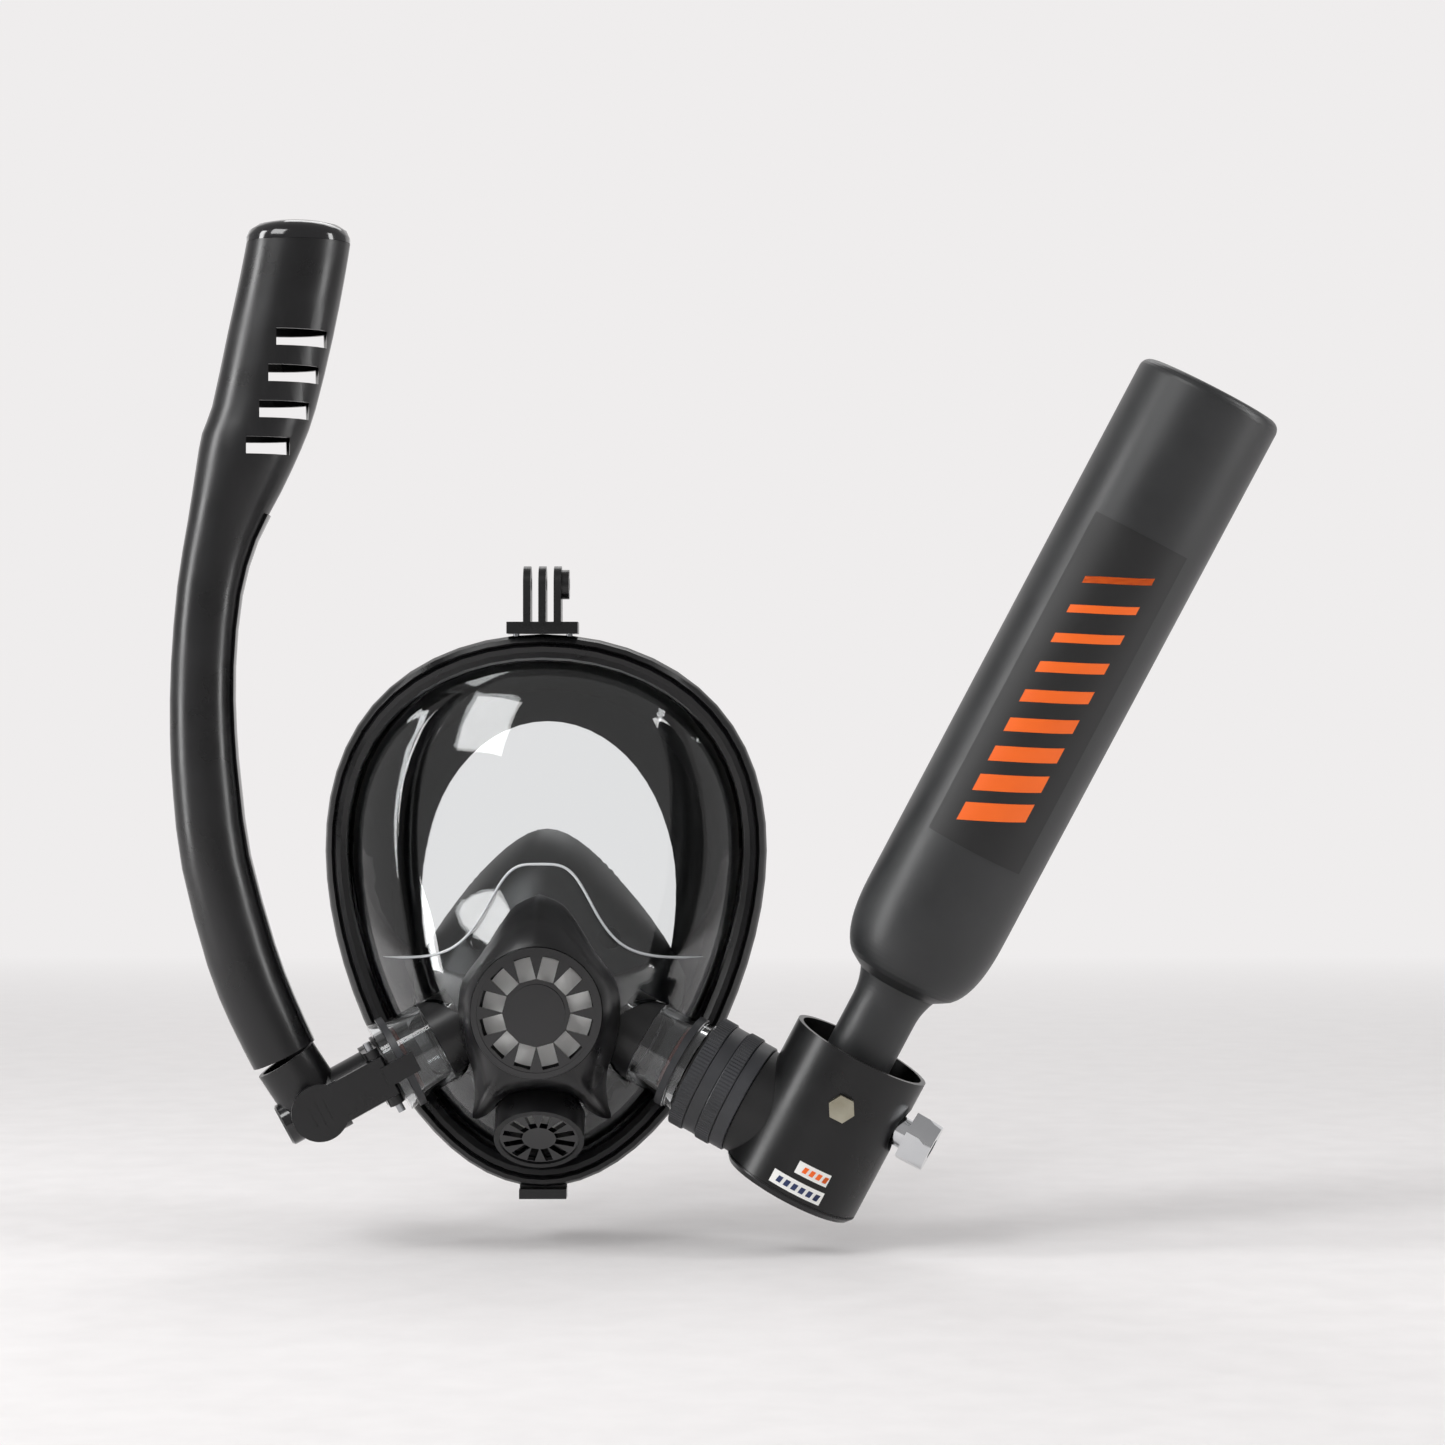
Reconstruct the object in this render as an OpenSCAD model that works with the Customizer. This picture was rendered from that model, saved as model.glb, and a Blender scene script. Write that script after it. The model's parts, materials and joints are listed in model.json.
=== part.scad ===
// Full-face snorkel mask with a dry-top snorkel and a mini air cylinder.
// Millimetres. Worn position: +Z up, the wearer looks along -Y, the origin is the middle of the face seal.

/* [Mask frame] */
// Half width of the frame at mid height
mask_half_w = 86.5; // [80:1:100]
// Half height of the frame
mask_half_h = 108.8; // [100:1:122]
// How much wider the brow is than the chin
brow_taper = 19; // [14:1:22]
// Extra squareness of brow and chin corners
corner_full = 4; // [2:1:6]
// How far the frame wraps back at its sides
wrap_depth = 25; // [18:1:30]
// Radial width of the front frame ring
frame_band = 10; // [8:0.5:13]
// Height of the front frame ring from front to back
frame_height = 12; // [10:1:16]
// Depth of the frame's back face in front of the face seal
frame_back_y = 40; // [34:1:48]

/* [Lens] */
// Wall of the clear lens
lens_wall = 2.5; // [2:0.1:4]
// How far the lens stands out over the brow
lens_bulge = 20; // [14:1:26]
// Extra bulge over the nose and chin
chin_bulge = 14; // [10:1:18]

/* [Face skirt] */
// Half width of the face opening
face_half_w = 51; // [44:1:58]
// Half height of the face opening
face_half_h = 74; // [68:1:82]
// Wall of the silicone skirt
skirt_wall = 2.2; // [1.8:0.1:3]

/* [Orinasal pocket] */
// Half width of the pocket at its cheeks
pocket_half_w = 54; // [46:1:56]
// Height of the nose point above the origin
pocket_top_z = 31; // [26:1:34]
// Wall of the pocket
pocket_wall = 2; // [1.6:0.1:3]
// Radius of each inhale valve
inhale_r = 7; // [5.5:0.5:7.5]

/* [Exhaust] */
// Radius of the main exhaust grille
grille_r = 25; // [22:0.5:28]
// Number of grille slots
grille_slots = 12; // [8:1:16]
// Lift of the exhaust flaps
flap_lift = 2; // [1:0.5:3]
// Radius of the chin drain grille
drain_r = 17.4; // [15:0.2:19]
// Downward tilt of the chin drain
drain_tilt = 45; // [35:1:55]

/* [Side ports] */
// How far a port ring's centre lies in from the frame's side
port_inset = 28.5; // [25:0.5:32]
// Height of a port ring's centre
port_z = -60; // [-64:0.5:-56]
// Depth of the port axes in front of the face seal
port_y = 60; // [58:1:64]
// How far the ports point below the horizontal
port_drop = 28; // [24:1:32]
// How far the ports point forwards
port_splay = 11; // [6:1:14]
// Bore radius of a port socket
port_bore_r = 13.5; // [12:0.25:15]
// Wall of a port socket
port_wall = 3.2; // [2.5:0.1:4]

/* [Camera mount] */
// Width of the mount's base
camera_base_w = 28; // [24:1:34]
// Thickness of each fin
fin_t = 2.9; // [2.6:0.1:3.4]
// Gap between fins
fin_gap = 3.1; // [3:0.1:3.6]
// Height of the fins above the base
fin_h = 22; // [18:1:26]
// Radius of the screw hole through the fins
camera_bore_r = 2.55; // [2.5:0.05:2.8]

/* [Snorkel] */
// Wall of the snorkel tube
tube_wall = 2; // [1.6:0.1:2.6]
// Half depth of the tube from front to back over its half width
tube_depth_ratio = 0.98; // [0.9:0.01:1.1]
// Height of each air slot
slot_h = 6.6; // [5:0.1:8]
// Radius of the snorkel neck
neck_r = 11; // [10:0.25:12]
// Travel of the float
float_travel = 6; // [4:0.5:8]

/* [Latch] */
// Radius of the paddle's thumb pad
paddle_r = 11; // [9:0.2:13]
// Width of the paddle's shank
paddle_w = 16; // [13:0.5:18]
// Length from hinge pin to thumb pad centre
paddle_l = 28; // [26:0.5:32]
// Radius of the hinge pin
latch_pin_r = 1.5; // [1.2:0.1:2]

/* [Air set] */
// Diameter of the air cylinder
tank_d = 58; // [56:1:64]
// Length of the air cylinder from neck root to base
tank_l = 268; // [250:1:310]
// Radius of the cylinder's neck
tank_neck_r = 13.4; // [12:0.2:15]
// Outside radius of the valve cover
cover_r = 27.6; // [26:0.2:31]
// Height of the valve cover
cover_h = 61.5; // [58:0.5:70]
// Wall of the valve cover
cover_wall = 2; // [1.6:0.1:3]
// Outside radius of the coupling nut
nut_r = 23; // [22:0.2:26]
// Length of the coupling nut
nut_l = 23.6; // [20:0.2:28]
// Radial running clearance of turning and sliding fits
run_gap = 0.05; // [0.02:0.01:0.08]
// Clearance around parts that must not touch
free_gap = 0.3; // [0.25:0.05:0.5]

/* [Hidden] */
$fn = 64;

egg_steps = 60;

// ---- helpers -------------------------------------------------------------------------------
// Joins rings of points with triangles. Each ring has the same number of points.
// "loop" closes the last ring on the first; otherwise both end rings are capped.
module ring_loft(rings, loop = false) {
    m = len(rings[0]);
    k = len(rings);
    pts = [for (r = rings) for (p = r) p];
    last = loop ? k - 1 : k - 2;
    walls = [for (i = [0:last]) for (j = [0:m - 1])
        let (a = i * m + j, b = i * m + (j + 1) % m, i2 = (i + 1) % k,
            c = i2 * m + (j + 1) % m, d = i2 * m + j)
        each [[a, b, c], [a, c, d]]];
    caps = loop ? [] : [[for (j = [m - 1:-1:0]) j], [for (j = [0:m - 1]) (k - 1) * m + j]];
    polyhedron(points = pts, faces = concat(walls, caps));
}

// A point of the egg outline at angle t, moved inwards by "inset".
function egg(t, w, h, inset = 0) = [
    cos(t) * (w - inset + brow_taper * sin(t) + corner_full * sin(t) * sin(t)),
    (h - inset) * sin(t)];

// How far the mask wraps back towards the ears at a sideways place x.
function wrap(x) = wrap_depth * pow(x / mask_half_w, 2);

// A ring swept round the egg; "section" lists [inset, depth in front of the face] pairs.
module egg_ring(section) {
    ring_loft([for (i = [0:egg_steps - 1]) let (t = 360 * i / egg_steps)
        [for (s = section) let (p = egg(t, mask_half_w, mask_half_h, s[0]))
            [p[0], wrap(p[0]) - s[1], p[1]]]], loop = true);
}

// Depth of the lens's outer surface at (x, z); the lens seats at lens_seat_y in the frame.
frame_front_y = frame_back_y + frame_height;
lens_seat_y = frame_back_y + 4;
lens_flange = 4;
dome_inset = frame_band + 0.5;
lens_w = mask_half_w - dome_inset;
lens_h = mask_half_h - dome_inset;
function smooth(u) = let (c = min(1, max(0, u))) c * c * (3 - 2 * c);
function bulge(z) = lens_bulge + chin_bulge * smooth((20 - z) / 50);
function dome(r) = pow(1 - pow(r, 2.6), 0.7);
function lens_point(t, r) = let (p = egg(t, lens_w, lens_h), x = p[0] * r, z = p[1] * r)
    [x, wrap(x) - lens_seat_y - (bulge(z) + 4) * dome(r), z];

// Normalised radius of (x, z) inside the lens outline, and the lens depth there.
function lens_r(x, z) = let (s = z / lens_h, w = lens_w + brow_taper * s + corner_full * s * s)
    min(1, sqrt(pow(x / w, 2) + s * s));
function lens_y(x, z) = wrap(x) - lens_seat_y - (bulge(z) + 4) * dome(lens_r(x, z));

// ---- placing -------------------------------------------------------------------------------
port_x = mask_half_w - port_inset;
// Puts +Z of its children along a port's outward axis; side = 1 is the wearer's left (+X).
module at_port(side) {
    translate([side * port_x, -port_y, port_z])
        rotate([0, 0, -side * port_splay])
            rotate([0, side * (90 + port_drop), 0])
                children();
}
exhaust_z = -36.5;
exhaust_y = 93;
module at_exhaust() {
    translate([0, -exhaust_y, exhaust_z]) rotate([90, 0, 0]) children();
}
drain_drop = 25.5;
drain_z = exhaust_z - grille_r - drain_drop;
drain_y = 76;
module at_drain() {
    translate([0, -drain_y, drain_z]) rotate([90 + drain_tilt, 0, 0]) children();
}

// ---- mask ----------------------------------------------------------------------------------
module face_skirt() {
    out_w = mask_half_w - 4;
    out_h = mask_half_h - 4;
    back = frame_back_y - free_gap;
    // Blend 0 lies under the frame, blend 1 is the edge of the face opening.
    section = [[0, back], [0, back - 3], [0.1, back - 8], [0.22, 12], [0.55, 0], [1, 8],
        [1, 8 + skirt_wall], [0.6, skirt_wall + 0.6], [0.34, 14], [0.22, back - 7],
        [0.16, back - 3], [0.16, back]];
    color("#161616") ring_loft([for (i = [0:egg_steps - 1]) let (t = 360 * i / egg_steps,
            a = egg(t, out_w, out_h), b = [cos(t) * face_half_w * (1 + 0.06 * sin(t)),
                face_half_h * sin(t)])
        [for (s = section) let (x = a[0] + (b[0] - a[0]) * s[0], z = a[1] + (b[1] - a[1]) * s[0])
            [x, wrap(x) - s[1], z]]], loop = true);
}

// Space that a side port and what plugs into it need in the frame.
port_out_r = port_bore_r + port_wall;
port_flange_r = port_out_r + 1.7;
port_in = 19;
port_rim = 1.5;
module port_space(gap) {
    for (side = [-1, 1]) at_port(side) {
        translate([0, 0, -port_in]) cylinder(r = port_out_r + gap, h = port_in);
        translate([0, 0, -5]) cylinder(r = port_flange_r + 1 + gap, h = 14);
    }
}

screw_r = 1.25;
screw_x = 10.5;
screw_y = frame_back_y + 7;
screw_deep = 7;
module screw_places() {
    for (x = [-screw_x, screw_x]) translate([x, -screw_y, mask_half_h]) children();
}

module frame_front() {
    f = frame_front_y;
    b = frame_back_y + 3;
    lip = lens_seat_y + 0.3;
    section = [[0, b], [0, f - 4], [1.2, f - 1.5], [3, f - 0.5], [4, f - 2], [5, f],
        [7, f - 0.3], [frame_band - 0.8, f - 2], [frame_band, f - 4],
        [frame_band, lip], [dome_inset - lens_flange - free_gap, lip],
        [dome_inset - lens_flange - free_gap, b]];
    color("#1b1b1c") difference() {
        egg_ring(section);
        port_space(free_gap);
        screw_places() translate([0, 0, -screw_deep - 1]) cylinder(r = screw_r, h = 12);
    }
}

tab_w = 18.6;
tab_h = 4.8;
module frame_back() {
    b = frame_back_y;
    edge = dome_inset - lens_flange - 0.5;
    section = [[1, b], [1, b + 2.8], [edge, b + 2.8], [edge, b + 1.2], [dome_inset + 1, b + 0.2],
        [dome_inset + 1, b - 0.2], [edge, b]];
    color("#141414") {
        egg_ring(section);
        translate([-tab_w / 2, -b - 2.8, -mask_half_h - tab_h]) cube([tab_w, 2.6, tab_h + 4]);
        translate([-tab_w / 2, -b - 9, -mask_half_h - tab_h]) cube([tab_w, 9, tab_h - 1]);
    }
}

// Clear moulding: flange, domed window, two side sockets, and holes for exhaust and drain.
exhaust_hole_r = grille_r - 3;
drain_hole_r = drain_r - 2.4;
lens_rings = [0.06, 0.3, 0.5, 0.66, 0.8, 0.9, 0.96, 1];
module lens() {
    n = len(lens_rings);
    inner = 1 - lens_wall / lens_w;
    rim = [for (y = [0, lens_wall]) [for (k = [0:egg_steps - 1])
        let (p = egg(360 * k / egg_steps, lens_w, lens_h, -lens_flange))
            [p[0], wrap(p[0]) - lens_seat_y + y, p[1]]]];
    front = [for (i = [0:n - 1]) [for (k = [0:egg_steps - 1])
        lens_point(360 * k / egg_steps, lens_rings[i])]];
    back = [for (i = [n - 1:-1:0]) [for (k = [0:egg_steps - 1])
        lens_point(360 * k / egg_steps, lens_rings[i] * inner) + [0, lens_wall, 0]]];
    color("#dfe6ea", 0.3) difference() {
        union() {
            ring_loft(concat(front, rim, back));
            for (side = [-1, 1]) at_port(side) translate([0, 0, -port_in]) {
                cylinder(r = port_out_r, h = port_in + port_rim);
                translate([0, 0, port_in - 2]) cylinder(r = port_flange_r, h = 2 + port_rim);
            }
        }
        for (side = [-1, 1]) at_port(side)
            translate([0, 0, -port_in - 6]) cylinder(r = port_bore_r, h = port_in + 10);
        for (side = [-1, 1]) at_port(side) translate([0, 0, -port_in - duct_l - 1])
            cylinder(r = port_out_r - duct_step + free_gap, h = duct_l + 1);
        at_exhaust() translate([0, 0, -40]) cylinder(r = exhaust_hole_r + free_gap, h = 50);
        at_drain() translate([0, 0, -24]) cylinder(r = drain_hole_r + free_gap, h = 30);
    }
}

module port_ring(side) {
    color("#2b2d30") at_port(side) translate([0, 0, -5]) difference() {
        cylinder(r = port_flange_r + 0.6, h = 2.8);
        translate([0, 0, -1]) cylinder(r = port_out_r + run_gap, h = 5);
    }
}

// Black drums inside the lens that lead from the pocket to the side sockets.
duct_l = 13;
duct_step = 0.4;
module port_duct(side) {
    color("#1d1d1d") at_port(side) translate([0, 0, -port_in - duct_l - free_gap])
        difference() {
            cylinder(r = port_out_r - duct_step, h = duct_l);
            translate([0, 0, -1]) cylinder(r = port_bore_r, h = duct_l + 2);
        }
}

// Nose and mouth pocket: wide against the face, drawn in to a round neck at the exhaust.
pocket_neck_r = exhaust_hole_r - 3.4;
pocket_mid_z = -28;
function pocket_out(t) = let (s = sin(t), up = max(0, s))
    [pocket_half_w * cos(t) * (1 - 0.45 * up),
     pocket_mid_z + s * (s > 0 ? pocket_top_z - pocket_mid_z : 52)];
pocket_levels = [[1, 12], [0.94, 19], [0.8, 28], [0.62, 35], [0, 42], [0, 74]];
pocket_steps = 48;
function pocket_ring(k, y, wall) = [for (i = [0:pocket_steps - 1])
    let (t = 360 * i / pocket_steps, p = pocket_out(t),
         q = [pocket_neck_r * cos(t), exhaust_z + pocket_neck_r * sin(t)],
         x = q[0] + (p[0] - q[0]) * k - wall * cos(t),
         z = q[1] + (p[1] - q[1]) * k - wall * sin(t))
        [x, wrap(x) * k - y, z]];
module orinasal_pocket() {
    n = len(pocket_levels);
    outer = [for (i = [0:n - 1]) pocket_ring(pocket_levels[i][0], pocket_levels[i][1], 0)];
    inner = [for (i = [n - 1:-1:0])
        pocket_ring(pocket_levels[i][0], pocket_levels[i][1] - (i < n - 1 ? 1.4 : 0),
            pocket_wall)];
    color("#191919") difference() {
        ring_loft(concat(outer, inner), loop = true);
        for (side = [-1, 1]) at_inhale(side) translate([0, 0, -12])
            cylinder(r = inhale_r - 2.5, h = 24);
    }
}

// Inhale valves sit high on the cheeks of the pocket.
inhale_x = 27;
inhale_z = -12;
inhale_y = 37;
inhale_turn = 29;
// The flap sits clear behind the cheek's curved wall.
inhale_seat = 6.6;
module at_inhale(side) {
    translate([side * inhale_x, -inhale_y, inhale_z])
        rotate([90, 0, side * inhale_turn]) children();
}
module inhale_flap(side) {
    color("#2a2a2a") at_inhale(side) translate([0, 0, -pocket_wall - inhale_seat])
        cylinder(r = inhale_r, h = 0.9);
}

// ---- exhaust and drain ---------------------------------------------------------------------
// In these modules z = 0 is the back of the grille and +z is the way the air leaves.
hub_r = grille_r * 0.44;
module slots(count, r_in, r_out, width, h) {
    for (i = [0:count - 1]) rotate([0, 0, (i + 0.5) * 360 / count])
        translate([r_in, -width / 2, -1]) cube([r_out - r_in, width, h + 2]);
}
grille_t = 3;
module exhaust_grille() {
    color("#101010") at_exhaust() difference() {
        union() {
            cylinder(r = grille_r, h = grille_t);
            translate([0, 0, grille_t]) cylinder(r = hub_r, h = 0.8);
        }
        translate([0, 0, grille_t - 1]) difference() {
            cylinder(r = grille_r - 2.2, h = 2);
            translate([0, 0, -1]) cylinder(r = hub_r, h = 4);
        }
        slots(grille_slots, hub_r + 1.6, grille_r - 3.4, 6.4, grille_t);
    }
}
seat_z = -6;
stem_r = 1.4;
seat_neck_r = exhaust_hole_r;
module exhaust_seat() {
    color("#202020") at_exhaust() difference() {
        union() {
            translate([0, 0, seat_z - 2]) cylinder(r = grille_r - 0.8, h = 2);
            translate([0, 0, seat_z - 18]) cylinder(r = seat_neck_r, h = 17);
            difference() {
                translate([0, 0, seat_z - 1]) cylinder(r = grille_r - 0.8, h = -seat_z + 1);
                translate([0, 0, seat_z - 2]) cylinder(r = grille_r - 2.6, h = -seat_z + 4);
            }
        }
        translate([0, 0, seat_z - 19]) cylinder(r = seat_neck_r - 3, h = 17);
        translate([0, 0, seat_z - 2]) slots(6, 9, seat_neck_r - 3.6, 6, 2);
        translate([0, 0, seat_z - 4]) cylinder(r = stem_r + run_gap, h = 6);
    }
}
flap_t = 1.2;
module exhaust_flap() {
    color("#303030") at_exhaust() {
        translate([0, 0, seat_z + 0.1]) cylinder(r = seat_neck_r - 1, h = flap_t);
        translate([0, 0, seat_z - 3.5]) cylinder(r = stem_r, h = 4);
    }
}

// Bell-shaped cover: outline points from the nose point round to the chin, right half.
bell = [[0, 7.5], [9, 3.5], [15, -4], [22, -15], [29.5, -25.5], [31.3, -37], [29.5, -50],
    [26, -62], [25.8, -73], [27, -81], [21, -79], [13, -72.5], [0, -69]];
bell_steps = 3;
function spline(a, b, c, d, u) = 0.5 * (2 * b + (c - a) * u + (2 * a - 5 * b + 4 * c - d) * u * u
    + (3 * b - a - 3 * c + d) * u * u * u);
function smooth_points(p, steps) = let (n = len(p)) [for (i = [0:n - 2]) for (k = [0:steps - 1])
    spline(p[max(0, i - 1)], p[i], p[i + 1], p[min(n - 1, i + 2)], k / steps)];
bell_right = smooth_points(bell, bell_steps);
bell_outline = concat(bell_right, [bell[len(bell) - 1]],
    [for (i = [len(bell_right) - 1:-1:1]) [-bell_right[i][0], bell_right[i][1]]]);
cover_hole_r = grille_r + free_gap;
bell_wall = 2;
function bell_ring(k, lift) = [for (p = bell_outline)
    let (v = p - [0, exhaust_z], r = norm(v), q = v * cover_hole_r / r,
         x = q[0] + (v[0] - q[0]) * k, z = exhaust_z + q[1] + (v[1] - q[1]) * k,
         y_hole = -exhaust_y - 1, y_edge = lens_y(x, z) - free_gap - bell_wall)
        [x, y_hole + (y_edge - y_hole) * smooth(k) * (0.6 + 0.4 * k) + lift, z]];
module front_cover() {
    color("#1e1e1f") difference() {
        ring_loft(concat([bell_ring(0, 0)], [bell_ring(0.3, 0)], [bell_ring(0.6, 0)],
            [bell_ring(0.82, 0)], [bell_ring(1, 0)], [bell_ring(1, bell_wall)],
            [bell_ring(0.6, bell_wall)], [bell_ring(0.3, bell_wall)],
            [bell_ring(0, bell_wall + 4)]), loop = true);
        at_drain() translate([0, 0, -30]) cylinder(r = drain_r + free_gap, h = 40);
        for (side = [-1, 1]) at_port(side) translate([0, 0, -port_in - duct_l - 1])
            cylinder(r = port_out_r + free_gap, h = duct_l + 2);
    }
}

drain_len = 12;
module drain_housing() {
    color("#1a1a1a") at_drain() difference() {
        union() {
            translate([0, 0, -drain_len]) cylinder(r = drain_r, h = drain_len);
            translate([0, 0, -drain_len - 10]) cylinder(r = drain_hole_r, h = 11);
        }
        translate([0, 0, -3]) cylinder(r = drain_r - 2.1, h = 4);
        translate([0, 0, -drain_len + 2]) cylinder(r = drain_hole_r - 2, h = drain_len);
        translate([0, 0, -drain_len - 11]) cylinder(r = drain_hole_r - 2, h = 11);
        translate([0, 0, -drain_len]) slots(6, 6, drain_hole_r - 2.5, 3.6, 3);
        translate([0, 0, -drain_len - 2]) cylinder(r = 1.1 + run_gap, h = 6);
    }
}
module drain_grille() {
    color("#101010") at_drain() translate([0, 0, -3]) difference() {
        cylinder(r = drain_r - 2.2, h = 2.4);
        slots(grille_slots, 6.5, drain_r - 3.4, 3, 3);
    }
}
module drain_flap() {
    color("#303030") at_drain() {
        translate([0, 0, -drain_len + 2.1]) cylinder(r = drain_hole_r - 3, h = 1);
        translate([0, 0, -drain_len - 1.5]) cylinder(r = 1.1, h = 4);
    }
}

// ---- camera mount --------------------------------------------------------------------------
base_h = 4.6;
base_z = mask_half_h + free_gap / 2;
fin_r = 7.2;
fin_y = -(frame_back_y + 7);
bore_z = base_z + base_h + fin_h - fin_r;
nut_af = 8;
nut_h = 2.6;
module fin(x) {
    translate([x - fin_t / 2, fin_y, 0]) {
        translate([0, 0, bore_z]) rotate([0, 90, 0]) cylinder(r = fin_r, h = fin_t);
        translate([0, -fin_r, base_z + base_h - 1])
            cube([fin_t, 2 * fin_r, bore_z - base_z - base_h + 1]);
    }
}
fin_pitch = fin_t + fin_gap;
boss_x = fin_pitch + fin_t / 2;
module camera_mount() {
    color("#262629") difference() {
        union() {
            translate([-camera_base_w / 2, fin_y - 6.5, base_z])
                cube([camera_base_w, 13, base_h]);
            for (i = [-1:1]) fin(i * fin_pitch);
            translate([boss_x - 1, fin_y, bore_z]) rotate([0, 90, 0]) cylinder(r = 5.8, h = 4);
        }
        translate([-20, fin_y, bore_z]) rotate([0, 90, 0]) cylinder(r = camera_bore_r, h = 40);
        translate([boss_x + 0.4, fin_y, bore_z]) rotate([0, 90, 0])
            cylinder(d = (nut_af + 0.2) / cos(30), h = 10, $fn = 6);
        screw_places() {
            translate([0, 0, -2]) cylinder(r = screw_r + run_gap, h = 10);
            translate([0, 0, free_gap / 2 + base_h - 1.6]) cylinder(r = 2.5, h = 6);
        }
    }
}
module camera_nut() {
    color("#b9bcc0") translate([boss_x + 0.4, fin_y, bore_z]) rotate([0, 90, 0]) difference() {
        cylinder(d = nut_af / cos(30), h = nut_h, $fn = 6);
        translate([0, 0, -1]) cylinder(r = 2.5, h = nut_h + 2);
    }
}
module frame_screws() {
    color("#8d8f92") screw_places() {
        translate([0, 0, -screw_deep]) cylinder(r = screw_r, h = screw_deep + base_h - 1.4);
        translate([0, 0, free_gap / 2 + base_h - 1.6]) difference() {
            cylinder(r = 2.4, h = 1.3);
            translate([0, 0, 0.6]) cylinder(r = 1.1, h = 2, $fn = 6);
        }
    }
}

// ---- snorkel -------------------------------------------------------------------------------
// Drawn in the plane of its own port: x and z are counted from the port ring's centre.
module at_snorkel() {
    translate([-port_x, -port_y, port_z]) rotate([0, 0, port_splay]) children();
}
function port_line(d) = [-cos(port_drop) * d, -sin(port_drop) * d];
corner_d = 33;
corner = port_line(corner_d);
elbow_r = 12.4;
// Stations up the tube: sideways place, height, half width, lean of the ring's plane (0 level).
stations = [[-42.5, 5, 12.6, 1], [-51, 23, 13, 1], [-59, 44, 13.2, 1], [-68.5, 80, 13, 1],
    [-72, 108, 12.8, 1], [-73.5, 130, 12.4, 1], [-73.5, 156, 12, 1], [-71, 185, 12.2, 1],
    [-66, 208, 13.6, 1], [-59.5, 228, 17, 0.8], [-54.5, 243, 19.3, 0.4], [-49.8, 256, 20, 0],
    [-43.5, 284, 20.4, 0], [-39, 306, 20.2, 0], [-36.5, 320, 20, 0]];
tube_sub = 2;
tube_sides = 24;
tube_path = let (n = len(stations)) concat(smooth_points(stations, tube_sub), [stations[n - 1]]);
function tube_normal(i) = let (n = len(tube_path), a = tube_path[max(0, i - 1)],
    b = tube_path[min(n - 1, i + 1)], lean = tube_path[i][3],
    t = [b[0] - a[0], b[1] - a[1]] / norm([b[0] - a[0], b[1] - a[1]]),
    u = [t[1], -t[0]] * lean + [1, 0] * (1 - lean)) u / norm(u);
// Ring i of the tube, shrunk by the wall; the deep head is flatter than the round shaft.
function head(i) = smooth((tube_path[i][1] - 200) / 60);
function tube_ring(i, wall) = let (p = tube_path[i], u = tube_normal(i), a = p[2] - wall,
    b = p[2] * (tube_depth_ratio - 0.14 * head(i)) - wall)
    [for (k = [0:tube_sides - 1]) let (t = -360 * k / tube_sides)
        [p[0] + u[0] * a * cos(t), b * sin(t), p[1] + u[1] * a * cos(t)]];
slot_z = 282;
slot_pitch = 13.9;
slot_count = 4;
slot_start = 2.2;
slot_end = 2.6;
function tube_at(z) = let (hits = [for (i = [0:len(tube_path) - 2])
    if (tube_path[i][1] <= z && tube_path[i + 1][1] > z)
        let (u = (z - tube_path[i][1]) / (tube_path[i + 1][1] - tube_path[i][1]))
            tube_path[i] + (tube_path[i + 1] - tube_path[i]) * u]) hits[0];
module snorkel_tube() {
    n = len(tube_path);
    color("#18181a") at_snorkel() difference() {
        ring_loft(concat([for (i = [0:n - 1]) tube_ring(i, 0)],
            [for (i = [n - 1:-1:0]) tube_ring(i, tube_wall)]), loop = true);
        for (k = [0:slot_count - 1]) let (z = slot_z - k * slot_pitch, p = tube_at(z))
            translate([p[0] - slot_start, -30, z - slot_h / 2])
                cube([slot_start + p[2] - slot_end - (k > 2 ? 1.5 : 0), 60, slot_h]);
    }
}
strip_t = 1;
strip_half = 26;
module snorkel_strip() {
    n = len(tube_path);
    // A bead along the inner edge, from the elbow up to the lowest slot.
    last = len([for (p = tube_path) if (p[1] < slot_z - slot_count * slot_pitch) 1]) - 1;
    function arc(i, extra) = let (p = tube_path[i], u = tube_normal(i), a = p[2] + extra,
        b = p[2] * (tube_depth_ratio - 0.14 * head(i)) + extra)
        [for (k = [-2:2]) let (t = k * strip_half / 2)
            [p[0] + u[0] * a * cos(t), b * sin(t), p[1] + u[1] * a * cos(t)]];
    color("#0c0c0d") at_snorkel() ring_loft([for (i = [0:last])
        let (outer = arc(i, strip_t + 0.05), inner = arc(i, 0.12))
            concat(outer, [for (k = [4:-1:0]) inner[k]])]);
}
cap_rise = 8.6;
module snorkel_cap() {
    n = len(tube_path);
    top = tube_ring(n - 1, 0);
    c = [tube_path[n - 1][0], 0, 0];
    shape = [[1, 0.1], [1, 2.2], [0.94, 4.8], [0.78, 6.9], [0.5, 8.2], [0.1, cap_rise]];
    color("#141415") at_snorkel() {
        ring_loft([for (s = shape) [for (p = top)
            [c[0] + (p[0] - c[0]) * s[0], p[1] * s[0], p[2] + s[1]]]]);
    }
}
float_r = 10.5;
float_h = 12;
float_z = 292;
cage_r = 14.2;
cage_x = -39.4;
module float_cage() {
    top = float_z + float_h + float_travel + free_gap;
    color("#3a3a3a") at_snorkel() translate([cage_x, 0, 0]) difference() {
        union() {
            for (z = [float_z - 2.2, top]) translate([0, 0, z]) cylinder(r = cage_r, h = 2);
            for (a = [45:90:315]) rotate([0, 0, a]) translate([cage_r - 1.5, 0, float_z - 1])
                cylinder(r = 1.2, h = top - float_z + 2);
        }
        translate([0, 0, float_z - 3]) cylinder(r = 8, h = 40);
    }
}
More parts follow.
